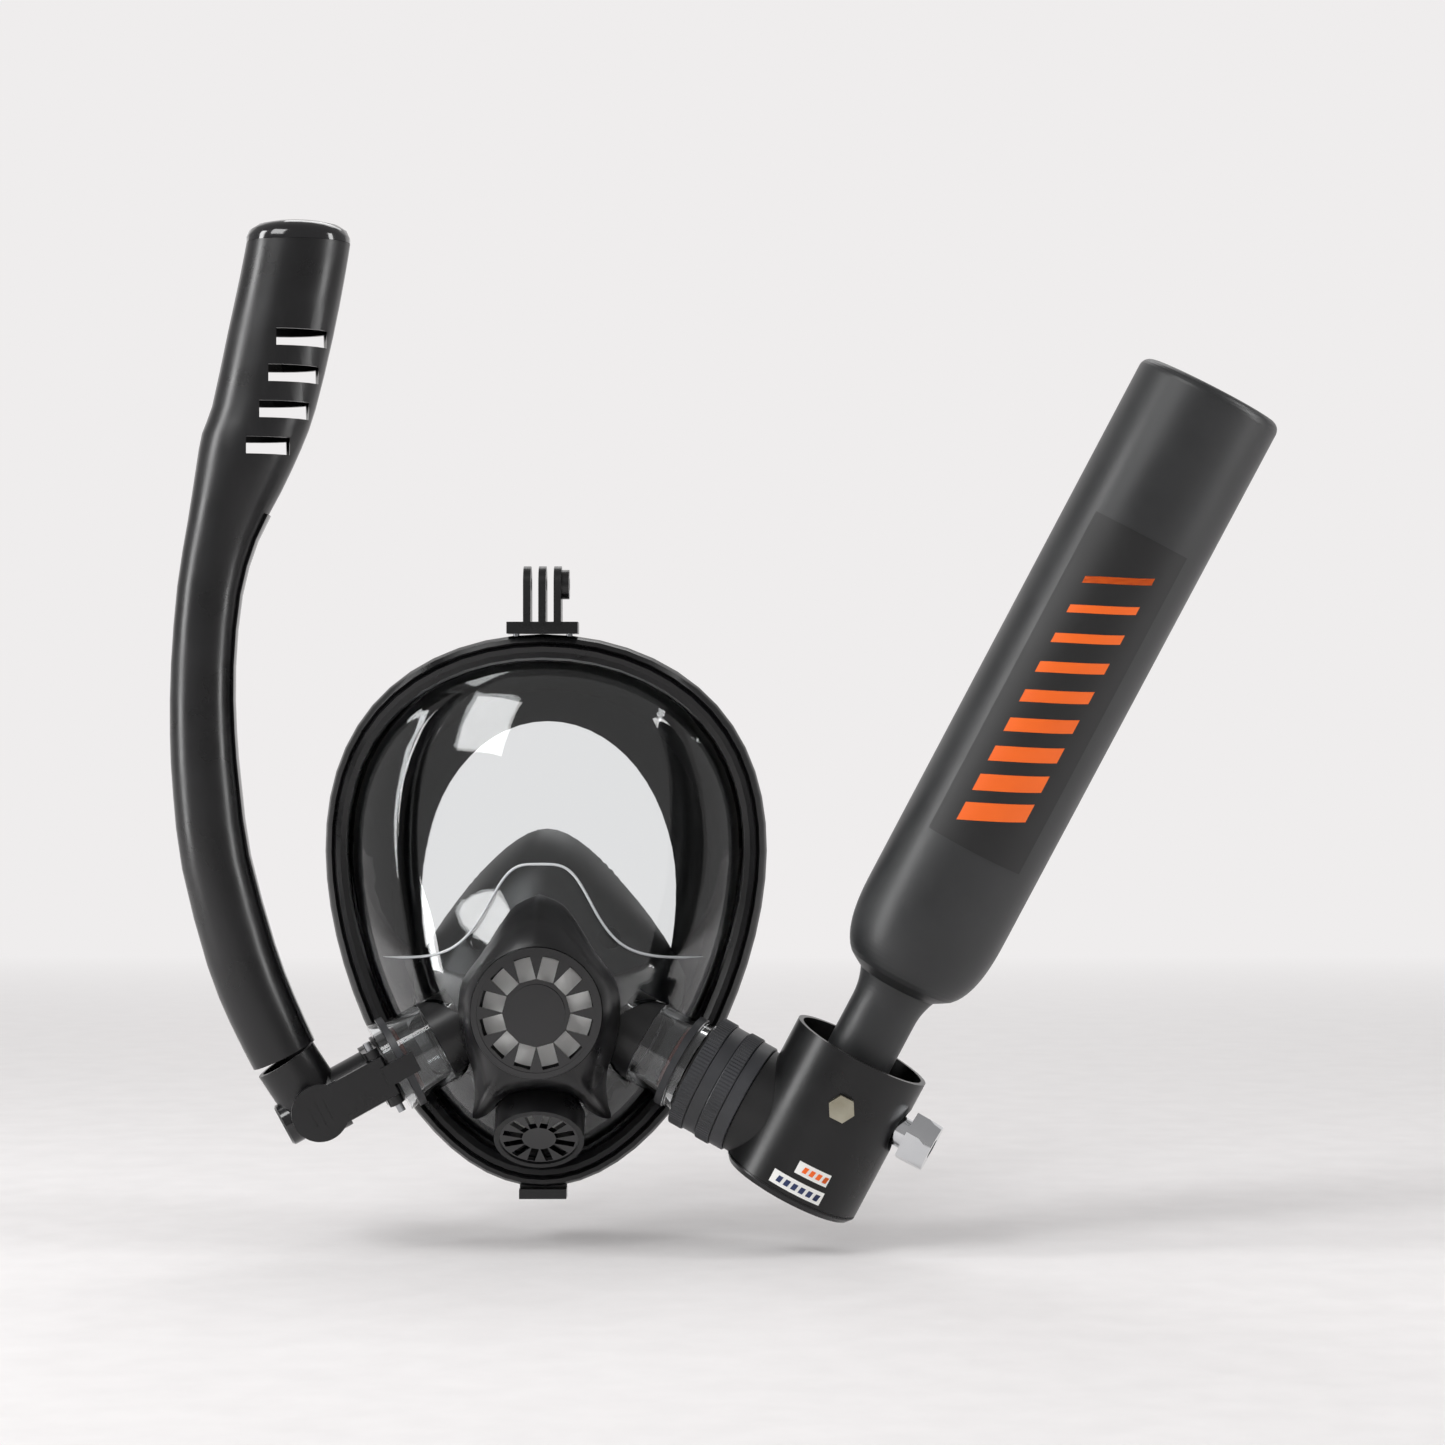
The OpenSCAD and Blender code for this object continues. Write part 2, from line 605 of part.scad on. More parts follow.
module float() {
    color("#d8d8d4") at_snorkel() translate([cage_x, 0, float_z]) {
        cylinder(r = float_r, h = float_h - 2);
        translate([0, 0, float_h - 2]) cylinder(r = 9.4, h = 2);
    }
}
// Elbow: an inlet that meets the tube, a ball at the corner and an outlet on the port axis.
elbow_wall = 2;
// The ball at the corner stands a little proud of both tubes that meet in it.
knuckle = 0.2;
tube_foot = [stations[0][0], stations[0][1]];
foot_v = tube_foot - corner;
foot_lean = atan2(foot_v[0], foot_v[1]);
mouth_d = 24;
collar_r = 12.6;
module on_port_line(d) { translate([port_line(d)[0], 0, port_line(d)[1]])
    rotate([0, -90 - port_drop, 0]) children(); }
spigot_r = port_bore_r - run_gap;
ring_r = 1;
ring_d = -6;
spigot_l = 12;
module elbow_solid(shrink, extra) {
    translate([corner[0], 0, corner[1]]) {
        sphere(r = elbow_r - shrink + knuckle);
        rotate([0, foot_lean, 0])
            cylinder(r = elbow_r - shrink, h = norm(foot_v) - 2 + extra);
    }
    on_port_line(mouth_d - extra) cylinder(r = elbow_r - shrink, h = corner_d - mouth_d + extra);
}
module snorkel_elbow() {
    color("#17171a") at_snorkel() difference() {
        union() {
            elbow_solid(0, 0);
            on_port_line(-spigot_l) cylinder(r = spigot_r, h = spigot_l + port_rim);
            on_port_line(port_rim + free_gap) cylinder(r = port_bore_r + 0.6, h = 1.2);
            on_port_line(-spigot_l + 1) cylinder(r = neck_r, h = mouth_d + spigot_l);
            on_port_line(corner_d) cylinder(r = 6, h = elbow_r + 1.6);
        }
        elbow_solid(elbow_wall, 0.6);
        on_port_line(-spigot_l - 1) cylinder(r = neck_r - 2, h = mouth_d + spigot_l + 4);
        on_port_line(ring_d - ring_r - 0.1) difference() {
            cylinder(r = spigot_r + 2, h = 2 * ring_r + 0.2);
            cylinder(r = spigot_r - 2 * ring_r - 0.02, h = 2 * ring_r + 0.2);
        }
    }
}
module snorkel_seal() {
    color("#5a1d12") at_snorkel() on_port_line(ring_d)
        rotate_extrude() translate([spigot_r - ring_r - 0.01, 0]) circle(r = ring_r);
}
purge_r = 8.6;
module purge_cap() {
    color("#101010") at_snorkel() difference() {
        on_port_line(corner_d + elbow_r - 2.4) purge_disc();
        translate([corner[0], 0, corner[1]]) rotate([0, foot_lean, 0])
            cylinder(r = elbow_r + run_gap, h = norm(foot_v));
    }
}
module purge_disc() {
    difference() {
        union() {
            cylinder(r = purge_r, h = 4.2);
            translate([0, 0, 4.2]) cylinder(r1 = purge_r, r2 = purge_r - 1, h = 0.8);
        }
        translate([0, 0, -5]) cylinder(r = 6 + run_gap, h = 9);
        translate([0, 0, -elbow_r + 2.4]) sphere(r = elbow_r + knuckle + run_gap);
    }
}

// ---- latch ---------------------------------------------------------------------------------
// Here x runs along the hinge pin, -y is the front and z is the distance out along the port.
module at_latch() { at_port(-1) children(); }
pin_d = 5.5;
pin_y = port_out_r - 0.2;
pin_half = 15;
ear_in = paddle_w / 2 + free_gap;
ear_t = 3.4;
paddle_t = 3.2;
paddle_y = pin_y + 0.5;
module latch_bracket() {
    color("#1a1a1a") at_latch() difference() {
        union() {
            translate([0, 0, 3.2]) cylinder(r = collar_r, h = 5.6);
            for (side = [-1, 1]) {
                translate([side * (ear_in + ear_t / 2) - ear_t / 2, -pin_y, 3.2])
                    cube([ear_t, pin_y - 5, 5.6]);
                translate([side * (ear_in + ear_t / 2) - ear_t / 2, -pin_y, pin_d])
                    rotate([0, 90, 0]) cylinder(r = 2.8, h = ear_t);
            }
        }
        translate([0, 0, 2]) cylinder(r = neck_r + run_gap, h = 9);
        translate([-20, -pin_y, pin_d]) rotate([0, 90, 0]) cylinder(r = latch_pin_r, h = 40);
    }
}
module latch_pin() {
    color("#77797c") at_latch() translate([-pin_half, -pin_y, pin_d]) rotate([0, 90, 0])
        cylinder(r = latch_pin_r - 0.01, h = 2 * pin_half);
}
hook_z = -8.2;
hook_out = 3.9;
module latch_lever() {
    pad_z = pin_d + paddle_l;
    color("#111112") at_latch() difference() {
        union() {
            translate([-paddle_w / 2, -pin_y, pin_d]) rotate([0, 90, 0])
                cylinder(r = 3.2, h = paddle_w);
            translate([-paddle_w / 2, -paddle_y - paddle_t, pin_d - 2])
                cube([paddle_w, paddle_t, paddle_l - 4]);
            translate([0, -paddle_y, pad_z]) rotate([90, 0, 0])
                cylinder(r = paddle_r, h = paddle_t);
            // Hook that reaches over the port flange.
            translate([-4, -paddle_y - hook_out, hook_z]) cube([8, 1.6, pin_d - hook_z]);
            translate([-4, -paddle_y - hook_out, hook_z]) cube([8, 3.3, 2.2]);
        }
        translate([-20, -pin_y, pin_d]) rotate([0, 90, 0])
            cylinder(r = latch_pin_r + run_gap, h = 40);
        for (k = [-1:1]) translate([-5 + abs(k), -paddle_y - paddle_t - 1, pad_z + 3.2 * k - 0.3])
            cube([10 - 2 * abs(k), 1.5, 0.6]);
    }
}

// ---- air set -------------------------------------------------------------------------------
// Here x runs out along the right port, z runs up the air cylinder and -y is the front.
module at_air() {
    translate([port_x, -port_y, port_z]) rotate([0, 0, -port_splay])
        rotate([0, port_drop, 0]) children();
}
module along_x() { rotate([0, 90, 0]) children(); }
cover_gap = 29;
cover_x = cover_gap + cover_r;
cover_low = -23;
module at_cover() { at_air() translate([cover_x, 0, 0]) children(); }
// Turned about the cylinder's axis so that its printed side faces forwards.
front_turn = 10;
module facing(turn) { rotate([0, 0, turn]) children(); }

journal_r = 15;
nut_d = 3.4;
nut_end = nut_d + nut_l;
outlet_r = 8;
block_r = 17;
module outlet_adaptor() {
    color("#28292b") at_air() along_x() difference() {
        union() {
            translate([0, 0, -spigot_l]) cylinder(r = spigot_r, h = spigot_l + nut_d);
            translate([0, 0, port_rim + free_gap])
                cylinder(r = port_flange_r - 1.5, h = nut_d - port_rim - 2 * free_gap);
            translate([0, 0, port_rim + free_gap]) cylinder(r = journal_r - 1, h = nut_d - port_rim);
            translate([0, 0, nut_d]) cylinder(r = journal_r, h = nut_l - 0.6);
            cylinder(r = outlet_r, h = cover_x - block_r);
        }
        translate([0, 0, -spigot_l - 1]) cylinder(r = outlet_r - 2, h = 80);
        translate([0, 0, -spigot_l - 1]) cylinder(r = journal_r - 4, h = spigot_l + nut_l);
        translate([0, 0, ring_d - ring_r - 0.1]) difference() {
            cylinder(r = spigot_r + 2, h = 2 * ring_r + 0.2);
            cylinder(r = spigot_r - 2 * ring_r - 0.02, h = 2 * ring_r + 0.2);
        }
    }
}
module outlet_seal() {
    color("#5a1d12") at_air() along_x() translate([0, 0, ring_d])
        rotate_extrude() translate([spigot_r - ring_r - 0.01, 0]) circle(r = ring_r);
}
band_w = nut_l / 4;
module coupling_nut() {
    color("#3b3c3e") at_air() along_x() difference() {
        translate([0, 0, nut_d]) union() {
            for (k = [0:3]) translate([0, 0, k * band_w])
                cylinder(r = nut_r - (k % 2) * 0.35, h = band_w);
        }
        translate([0, 0, nut_d - 1]) cylinder(r = journal_r + run_gap, h = nut_l + 2);
    }
}
gasket_r = 21.4;
module coupling_gasket() {
    color("#101010") at_air() difference() {
        translate([nut_end + free_gap, 0, 0]) along_x()
            cylinder(r = gasket_r, h = cover_gap + cover_r - sqrt(cover_r * cover_r
                - gasket_r * gasket_r) - nut_end - free_gap);
        translate([cover_x, 0, -40]) cylinder(r = cover_r + 0.05, h = 80);
        along_x() cylinder(r = outlet_r + 0.1, h = 60);
    }
}
fitting_z = 18;
relief_z = 19.5;
relief_turn = 12;
fill_stem_r = 6;
cover_floor = 3;
module valve_cover() {
    color("#19191a") at_cover() difference() {
        union() {
            translate([0, 0, cover_low + 2]) cylinder(r = cover_r, h = cover_h - 2);
            translate([0, 0, cover_low]) cylinder(r1 = cover_r - 1.6, r2 = cover_r, h = 2);
        }
        translate([0, 0, cover_low + cover_floor])
            cylinder(r = cover_r - cover_wall, h = cover_h);
        translate([0, 0, cover_low + 2.6]) difference() {
            cylinder(r = cover_r + 1, h = 0.7);
            translate([0, 0, -1]) cylinder(r = cover_r - 0.5, h = 3);
        }
        along_x() translate([0, 0, -cover_r - 5]) cylinder(r = outlet_r + 0.1, h = cover_r);
        translate([0, 0, fitting_z]) along_x() cylinder(r = fill_stem_r + 3.4, h = 60);
        translate([0, 0, relief_z]) facing(relief_turn) rotate([90, 0, 0])
            cylinder(r = 4.2, h = 60);
    }
}
block_low = -12;
block_top = 24;
thread_r = 8.9;
thread_z = 12;
piston_r = 6;
lever_x = 7;
lever_z = -15.4;
lever_pin_r = 0.9;
bar_half = 1.2; // half the lever's breadth
foot_half = 1; // half the length of the lever's foot
foot_r = 1.2; // rounding the foot rolls on
pad_r = 4.5;
pad_top = cover_low + cover_floor + 1.5;
module valve_block() {
    color("#b8a36a") at_cover() difference() {
        union() {
            translate([0, 0, block_low]) cylinder(r = block_r, h = block_top - block_low);
            for (y = [-2.6, 2.6]) translate([lever_x - 2, y - 1, lever_z - 1.6])
                cube([4, 2, block_low - lever_z + 2.6]);
        }
        translate([0, 0, thread_z - 0.5]) cylinder(r = thread_r + run_gap, h = 30);
        translate([0, 0, block_low + 4]) cylinder(r = piston_r, h = 30);
        along_x() translate([0, 0, -block_r - 1]) cylinder(r = outlet_r - 3, h = block_r - 4);
        translate([0, 0, fitting_z]) along_x() cylinder(r = fill_stem_r - 1.5, h = 30);
        translate([0, 0, relief_z]) facing(relief_turn) rotate([90, 0, 0])
            cylinder(r = 2.4, h = 30);
        translate([lever_x, 10, lever_z]) rotate([90, 0, 0]) cylinder(r = lever_pin_r, h = 20);
    }
}
module demand_lever() {
    color("#c9cbcd") at_cover() difference() {
        union() {
            translate([lever_x, bar_half, lever_z]) rotate([90, 0, 0])
                cylinder(r = 1.8, h = 2 * bar_half);
            translate([-6, -bar_half, lever_z - 0.6]) cube([lever_x + 6, 2 * bar_half, 1.2]);
            translate([-foot_half, -bar_half, pad_top + run_gap + foot_r])
                cube([2 * foot_half, 2 * bar_half, lever_z - pad_top - foot_r]);
            translate([0, bar_half, pad_top + run_gap + foot_r]) rotate([90, 0, 0])
                cylinder(r = foot_r, h = 2 * bar_half);
        }
        translate([lever_x, 10, lever_z]) rotate([90, 0, 0])
            cylinder(r = lever_pin_r + run_gap, h = 20);
    }
}
module lever_pin() {
    color("#d0d2d4") at_cover() translate([lever_x, 2.6, lever_z]) rotate([90, 0, 0])
        cylinder(r = lever_pin_r - 0.01, h = 5.2);
}
module demand_diaphragm() {
    color("#2d2d2d") at_cover() translate([0, 0, cover_low + cover_floor + 0.3]) {
        cylinder(r = cover_r - cover_wall - 0.6, h = 0.8);
        cylinder(r = pad_r, h = 1.2);
    }
}
module piston() {
    color("#cfd1d3") at_cover() translate([0, 0, block_low + 4.4]) {
        cylinder(r = piston_r - run_gap, h = 5);
        translate([0, 0, 4]) cylinder(r = 2.5, h = 6);
    }
}
module piston_spring() {
    color("#9da0a3") at_cover() translate([0, 0, block_low + 10.8]) difference() {
        cylinder(r = 5, h = 6.6);
        translate([0, 0, -1]) cylinder(r = 3.8, h = 10);
    }
}
fill_af = 18.2;
hex_l = 11;
module fill_fitting() {
    color("#d6d8da") at_cover() translate([0, 0, fitting_z]) along_x() difference() {
        union() {
            translate([0, 0, cover_r + 3]) rotate([0, 0, 15]) intersection() {
                cylinder(d = fill_af / cos(30), h = hex_l, $fn = 6);
                cylinder(r1 = fill_af / 2 + 2.5, r2 = fill_af / 2 + 0.2, h = hex_l);
            }
            translate([0, 0, block_r + run_gap]) cylinder(r = fill_stem_r, h = cover_r - block_r + 6.4);
        }
        translate([0, 0, cover_r + 8]) cylinder(r = 4, h = 20);
        cylinder(r = 1.5, h = 60);
    }
}
module relief_plug() {
    color("#a7a491") at_cover() translate([0, 0, relief_z]) facing(relief_turn)
        rotate([90, 0, 0]) {
            translate([0, 0, cover_r + 0.4]) cylinder(d = 10.8, h = 2.6, $fn = 6);
            translate([0, 0, block_r + 0.1]) cylinder(r = 3.6, h = cover_r - block_r + 1.4);
        }
}
module neck_seal() {
    color("#5a1d12") at_cover() translate([0, 0, block_top + 0.05]) difference() {
        cylinder(r = tank_neck_r - 0.6, h = 0.9);
        translate([0, 0, -1]) cylinder(r = thread_r + 0.1, h = 4);
    }
}
neck_z = block_top + 1;
shoulder_z = 56.4;
tank_r = tank_d / 2;
shoulder_h = 45;
base_r = 4;
tank_wall = 3;
// Radius of the shoulder, u from 0 at the neck to 1 at the full width.
function shoulder(u) = tank_neck_r + (tank_r - tank_neck_r)
    * (u < 0.28 ? 0.2 * pow(u / 0.28, 2)
        : 0.2 + 0.8 * sqrt(1 - pow((1 - u) / 0.72, 2.6)));
function tank_side(inset) = [for (k = [0:24]) let (u = k / 24)
    [shoulder(u) - inset, shoulder_z + shoulder_h * u]];
module cylinder_body() {
    base = shoulder_z + tank_l;
    corner_arc = [for (a = [0:15:90])
        [tank_r - base_r + base_r * cos(a), base - base_r + base_r * sin(a)]];
    color("#2a2a2b") at_cover() difference() {
        rotate_extrude($fn = 96) polygon(concat([[0, thread_z], [thread_r, thread_z],
            [thread_r, neck_z], [tank_neck_r, neck_z]], tank_side(0), corner_arc, [[0, base]]));
        rotate_extrude($fn = 96) polygon(concat([[0, shoulder_z - 6], [5, shoulder_z - 6]],
            [for (p = tank_side(tank_wall)) if (p[1] > shoulder_z + 8) p],
            [[tank_r - tank_wall, base - 6], [tank_r - tank_wall - 6, base - tank_wall - 1],
                [0, base - tank_wall - 1]]));
        translate([0, 0, thread_z - 1]) cylinder(r = 3, h = shoulder_z);
    }
}
label_low = 129;
label_l = 134.5;
label_half = 41;
skin = 0.3;
module shell_patch(r, low, h, half) {
    facing(front_turn - 90) translate([0, 0, low]) rotate([0, 0, -half])
        rotate_extrude(angle = 2 * half, $fn = 96) translate([r, 0]) square([skin, h]);
}
module label() {
    color("#e8641b") at_cover() shell_patch(tank_r + 0.02, label_low, label_l, label_half);
}
mark_size = [[13.6, 5], [21.6, 5.2]];
mark_z = [-8.3, -15.8];
mark_turn = [7, 0.5];
module cover_marks() {
    color("#e9e9e6") at_cover() for (k = [0, 1]) facing(mark_turn[k])
        shell_patch(cover_r + 0.02, mark_z[k] - mark_size[k][1] / 2, mark_size[k][1],
            mark_size[k][0] / 2 / cover_r * 180 / PI);
}

face_skirt();
orinasal_pocket();
inhale_flap(-1);  // inhale_flap_left
inhale_flap(1);  // inhale_flap_right
lens();
frame_front();
frame_back();
frame_screws();
front_cover();
exhaust_grille();
exhaust_seat();
exhaust_flap();
drain_housing();
drain_grille();
drain_flap();
camera_mount();
camera_nut();
port_ring(-1);  // port_ring_left
port_ring(1);  // port_ring_right
port_duct(-1);  // port_duct_left
port_duct(1);  // port_duct_right
snorkel_tube();
snorkel_strip();
snorkel_cap();
float_cage();
float();
snorkel_elbow();
snorkel_seal();
purge_cap();
latch_bracket();
latch_pin();
latch_lever();
outlet_adaptor();
outlet_seal();
coupling_nut();
coupling_gasket();
valve_cover();
valve_block();
demand_lever();
lever_pin();
demand_diaphragm();
piston();
piston_spring();
fill_fitting();
relief_plug();
neck_seal();
cylinder_body();  // air_cylinder
label();
cover_marks();
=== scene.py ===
# %% [markdown]
# A full-face snorkel mask with its snorkel and a mini air cylinder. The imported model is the
# fixed frame: its nodes stay where they are and every finish here is laid on them.

# %% Load the frame
import json
import math
import bmesh
import bpy
from mathutils import Matrix, Vector
from mathutils.bvhtree import BVHTree


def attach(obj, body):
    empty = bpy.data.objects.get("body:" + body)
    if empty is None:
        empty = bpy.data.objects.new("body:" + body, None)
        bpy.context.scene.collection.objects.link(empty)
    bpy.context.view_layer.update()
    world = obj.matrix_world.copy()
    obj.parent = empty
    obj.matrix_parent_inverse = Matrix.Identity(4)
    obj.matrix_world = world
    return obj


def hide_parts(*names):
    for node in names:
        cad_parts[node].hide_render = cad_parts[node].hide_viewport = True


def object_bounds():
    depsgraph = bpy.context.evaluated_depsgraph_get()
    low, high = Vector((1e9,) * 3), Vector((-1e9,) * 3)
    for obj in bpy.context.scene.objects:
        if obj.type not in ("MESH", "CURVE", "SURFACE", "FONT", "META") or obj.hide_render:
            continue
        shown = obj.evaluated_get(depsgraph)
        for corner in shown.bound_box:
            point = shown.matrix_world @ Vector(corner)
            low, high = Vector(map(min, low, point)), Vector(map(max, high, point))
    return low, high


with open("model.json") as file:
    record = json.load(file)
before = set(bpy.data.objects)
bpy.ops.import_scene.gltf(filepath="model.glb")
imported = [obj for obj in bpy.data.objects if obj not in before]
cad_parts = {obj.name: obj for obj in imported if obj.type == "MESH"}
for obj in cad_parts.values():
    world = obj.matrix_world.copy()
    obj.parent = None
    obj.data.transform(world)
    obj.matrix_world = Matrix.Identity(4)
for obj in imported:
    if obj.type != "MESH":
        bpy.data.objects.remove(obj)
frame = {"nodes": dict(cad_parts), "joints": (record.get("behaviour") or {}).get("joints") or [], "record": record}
cad_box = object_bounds()
MM = 0.001
nodes = frame["nodes"]
joints = {j["name"]: j for j in frame["joints"]}
node_slot = {s["node"]: s["material_slot"] for s in frame["record"]["subparts"]}
node_body = {n: body for body, ns in frame["record"]["behaviour"]["bodies"].items() for n in ns}
print("nodes", len(nodes), "CAD box", [tuple(round(c, 4) for c in p) for p in cad_box])

# %% [markdown]
# The air set is drawn along its own axes. Its joints already hold them: x out along the port,
# y across, and z up the cylinder. One matrix then places every piece made for it.

# %% Axes of the air set
air_origin = Vector(joints["air_swivel"]["pos_m"])
air_x = Vector(joints["air_swivel"]["axis"]).normalized()
air_z = Vector(joints["diaphragm_lift"]["axis"]).normalized()
air_y = air_z.cross(air_x)
AIR = Matrix((air_x, air_y, air_z)).transposed().to_4x4()
AIR.translation = air_origin


def along_air(node, axis):
    """Lowest and highest place of a node along one of the air set's axes, from its port."""
    reach = [(v.co - air_origin).dot(axis) for v in nodes[node].data.vertices]
    return min(reach), max(reach)


cover_low_x, cover_high_x = along_air("valve_cover", air_x)
cover_r = (cover_high_x - cover_low_x) / 2
TANK = AIR @ Matrix.Translation((cover_low_x + cover_r, 0, 0))
tank_low_x, tank_high_x = along_air("air_cylinder", air_x)
tank_r = (tank_high_x - tank_low_x) / 2
print("cover radius mm", round(cover_r / MM, 2), "cylinder radius mm", round(tank_r / MM, 2))

# %% [markdown]
# Colours are written as sRGB hex, the way a paint chart gives them, and one function turns
# them to the linear values that the shader works in. One more adds any node with its links.

# %% Material helpers
DRIFT_SIZE = 22 * MM
DRIFT_LOW = 0.3
DRIFT_HIGH = 0.7


def linear(hex_code):
    """An sRGB hex colour as linear RGBA."""
    parts = [int(hex_code[i:i + 2], 16) / 255 for i in (1, 3, 5)]
    return [c / 12.92 if c <= 0.04045 else ((c + 0.055) / 1.055) ** 2.4 for c in parts] + [1]


def add(mat, kind, settings=None, links=None):
    """Adds a node, sets its sockets or attributes, and links sockets into it."""
    node = mat.node_tree.nodes.new(kind)
    for key, value in (settings or {}).items():
        if key in node.inputs:
            node.inputs[key].default_value = value
        else:
            setattr(node, key, value)
    for key, socket in (links or {}).items():
        mat.node_tree.links.new(socket, node.inputs[key])
    return node


def finish_of(name, shade, spread, rough, rough_spread, grain_mm, bump_mm, **shader):
    """A solid finish: colour drifting between two shades, grain, and roughness that varies."""
    mat = bpy.data.materials.new(name)
    mat.use_nodes = True
    tree = mat.node_tree
    surface = tree.nodes["Principled BSDF"]
    for key, value in shader.items():
        surface.inputs[key.replace("_", " ")].default_value = value
    place = add(mat, "ShaderNodeTexCoord").outputs["Object"]
    drift = add(mat, "ShaderNodeTexNoise", {"Scale": 1 / DRIFT_SIZE, "Detail": 5.0},
                {"Vector": place})
    grain = add(mat, "ShaderNodeTexNoise", {"Scale": 1 / (grain_mm * MM), "Detail": 2.0},
                {"Vector": place})
    tint = add(mat, "ShaderNodeValToRGB", links={"Fac": drift.outputs["Fac"]})
    tint.color_ramp.elements[0].position = DRIFT_LOW
    tint.color_ramp.elements[1].position = DRIFT_HIGH
    tint.color_ramp.elements[0].color = linear(shade)
    tint.color_ramp.elements[1].color = linear(spread)
    tree.links.new(tint.outputs["Color"], surface.inputs["Base Color"])
    wear = add(mat, "ShaderNodeMapRange",
               {"From Min": DRIFT_LOW, "From Max": DRIFT_HIGH, "To Min": rough - rough_spread,
                "To Max": rough + rough_spread}, {"Value": drift.outputs["Fac"]})
    tree.links.new(wear.outputs["Result"], surface.inputs["Roughness"])
    relief = add(mat, "ShaderNodeBump", {"Strength": 0.5, "Distance": bump_mm * MM},
                 {"Height": grain.outputs["Fac"]})
    tree.links.new(relief.outputs["Normal"], surface.inputs["Normal"])
    return mat


# %% [markdown]
# Nearly everything here is black, so the pieces are told apart by their surface: moulded
# silicone is soft and dull, ABS is a fine satin, and the grilles, the snorkel's caps and its
# edge strip are polished. Grain under about 0.3 mm would not show, so none is finer.

# %% Finishes
materials = {
    "silicone_black": finish_of("moulded_black_silicone", "#0b0b0c", "#111112", 0.42, 0.05,
                                0.5, 0.02, Specular_IOR_Level=0.45),
    # The flaps are white silicone here. The white is a painted highlight that makes the grille slots read bright.
    "silicone_milky": finish_of("white_silicone_painted_highlight", "#f2f2f0", "#e8e9e7", 0.4, 0.05, 0.6, 0.01),
    "abs_black": finish_of("moulded_satin_black_abs", "#0c0c0d", "#121214", 0.3, 0.05,
                           0.35, 0.015),
    "gloss_black": finish_of("polished_black_abs", "#08080a", "#0e0e11", 0.13, 0.03, 0.8,
                             0.003, Coat_Weight=0.5, Coat_Roughness=0.06),
    "tank_paint": finish_of("satin_black_powder_coat", "#202122", "#272829", 0.4, 0.04, 0.4,
                            0.012),
    "cover_paint": finish_of("black_anodised_aluminium", "#0f0f10", "#151516", 0.3, 0.04,
                             0.3, 0.008, Metallic=0.25),
    "nut_grey": finish_of("glass_filled_grey_nylon", "#2b2c2e", "#35363a", 0.4, 0.05, 0.4, 0.02),
    "chrome_fitting": finish_of("chromed_brass", "#cfd1d4", "#dcdee0", 0.12, 0.04, 0.6, 0.004,
                                Metallic=1.0),
    "nickel_plug": finish_of("bead_blasted_nickel", "#8d8876", "#bcb8a8", 0.36, 0.1, 0.9, 0.12,
                             Metallic=1.0),
    "valve_brass": finish_of("turned_brass", "#b8974a", "#c7a75c", 0.28, 0.06, 0.5, 0.01,
                             Metallic=1.0),
    "steel_pin": finish_of("ground_stainless_steel", "#9a9c9f", "#b0b2b5", 0.25, 0.06, 0.5,
                           0.006, Metallic=1.0),
    "seal_red": finish_of("red_nitrile_rubber", "#5a1d12", "#64251a", 0.5, 0.05, 0.5, 0.01),
    "float_white": finish_of("white_polyethylene", "#d2d2cd", "#dcdcd8", 0.45, 0.05, 0.6, 0.01),
    "label_orange": finish_of("orange_printed_film", "#f2680f", "#ec620c", 0.42, 0.03, 0.6,
                              0.004),
    "label_film": finish_of("matt_black_printed_film", "#0a0a0b", "#0f0f10", 0.5, 0.04, 0.4,
                            0.008),
    "mark_white": finish_of("white_printed_film", "#e6e6e3", "#ededea", 0.38, 0.03, 0.7, 0.004),
    "mark_navy": finish_of("navy_printed_film", "#1d2c55", "#22315c", 0.4, 0.03, 0.6, 0.004),
}

# %% [markdown]
# The lens is taken to be moulded polycarbonate. It is a wall 2.5 mm thick in the design, so
# the shader only has to bend light as polycarbonate does, with a slight moulding ripple.

# %% Clear polycarbonate
POLYCARBONATE_IOR = 1.585
RIPPLE_SIZE = 30 * MM
RIPPLE_HEIGHT = 0.3 * MM
lens_clear = bpy.data.materials.new("clear_moulded_polycarbonate")
lens_clear.use_nodes = True
clear = lens_clear.node_tree.nodes["Principled BSDF"]
clear.inputs["Base Color"].default_value = linear("#f4f7f8")
clear.inputs["Transmission Weight"].default_value = 1.0
clear.inputs["IOR"].default_value = POLYCARBONATE_IOR
ripple_place = add(lens_clear, "ShaderNodeTexCoord").outputs["Object"]
ripple = add(lens_clear, "ShaderNodeTexNoise", {"Scale": 1 / RIPPLE_SIZE, "Detail": 1.0},
             {"Vector": ripple_place})
haze = add(lens_clear, "ShaderNodeMapRange", {"To Min": 0.01, "To Max": 0.05},
           {"Value": ripple.outputs["Fac"]})
lens_clear.node_tree.links.new(haze.outputs["Result"], clear.inputs["Roughness"])
swell = add(lens_clear, "ShaderNodeBump", {"Strength": 0.15, "Distance": RIPPLE_HEIGHT},
            {"Height": ripple.outputs["Fac"]})
lens_clear.node_tree.links.new(swell.outputs["Normal"], clear.inputs["Normal"])
materials["clear_lens"] = lens_clear
print("materials", len(materials))

# %% [markdown]
# The moulded shells are made of flat facets in the design. A merged copy of each, shaded
# smooth except where two faces meet sharply, gives back the flowing surface of the moulding.

# %% Smooth the moulded shells
MOULDED = {"face_skirt": 50, "orinasal_pocket": 50, "lens": 40, "frame_front": 28,
           "frame_back": 35, "front_cover": 40, "snorkel_tube": 40, "snorkel_strip": 50,
           "snorkel_cap": 45}
MERGE_REACH = 0.02 * MM
SHORTEST_EDGE = 0.005 * MM


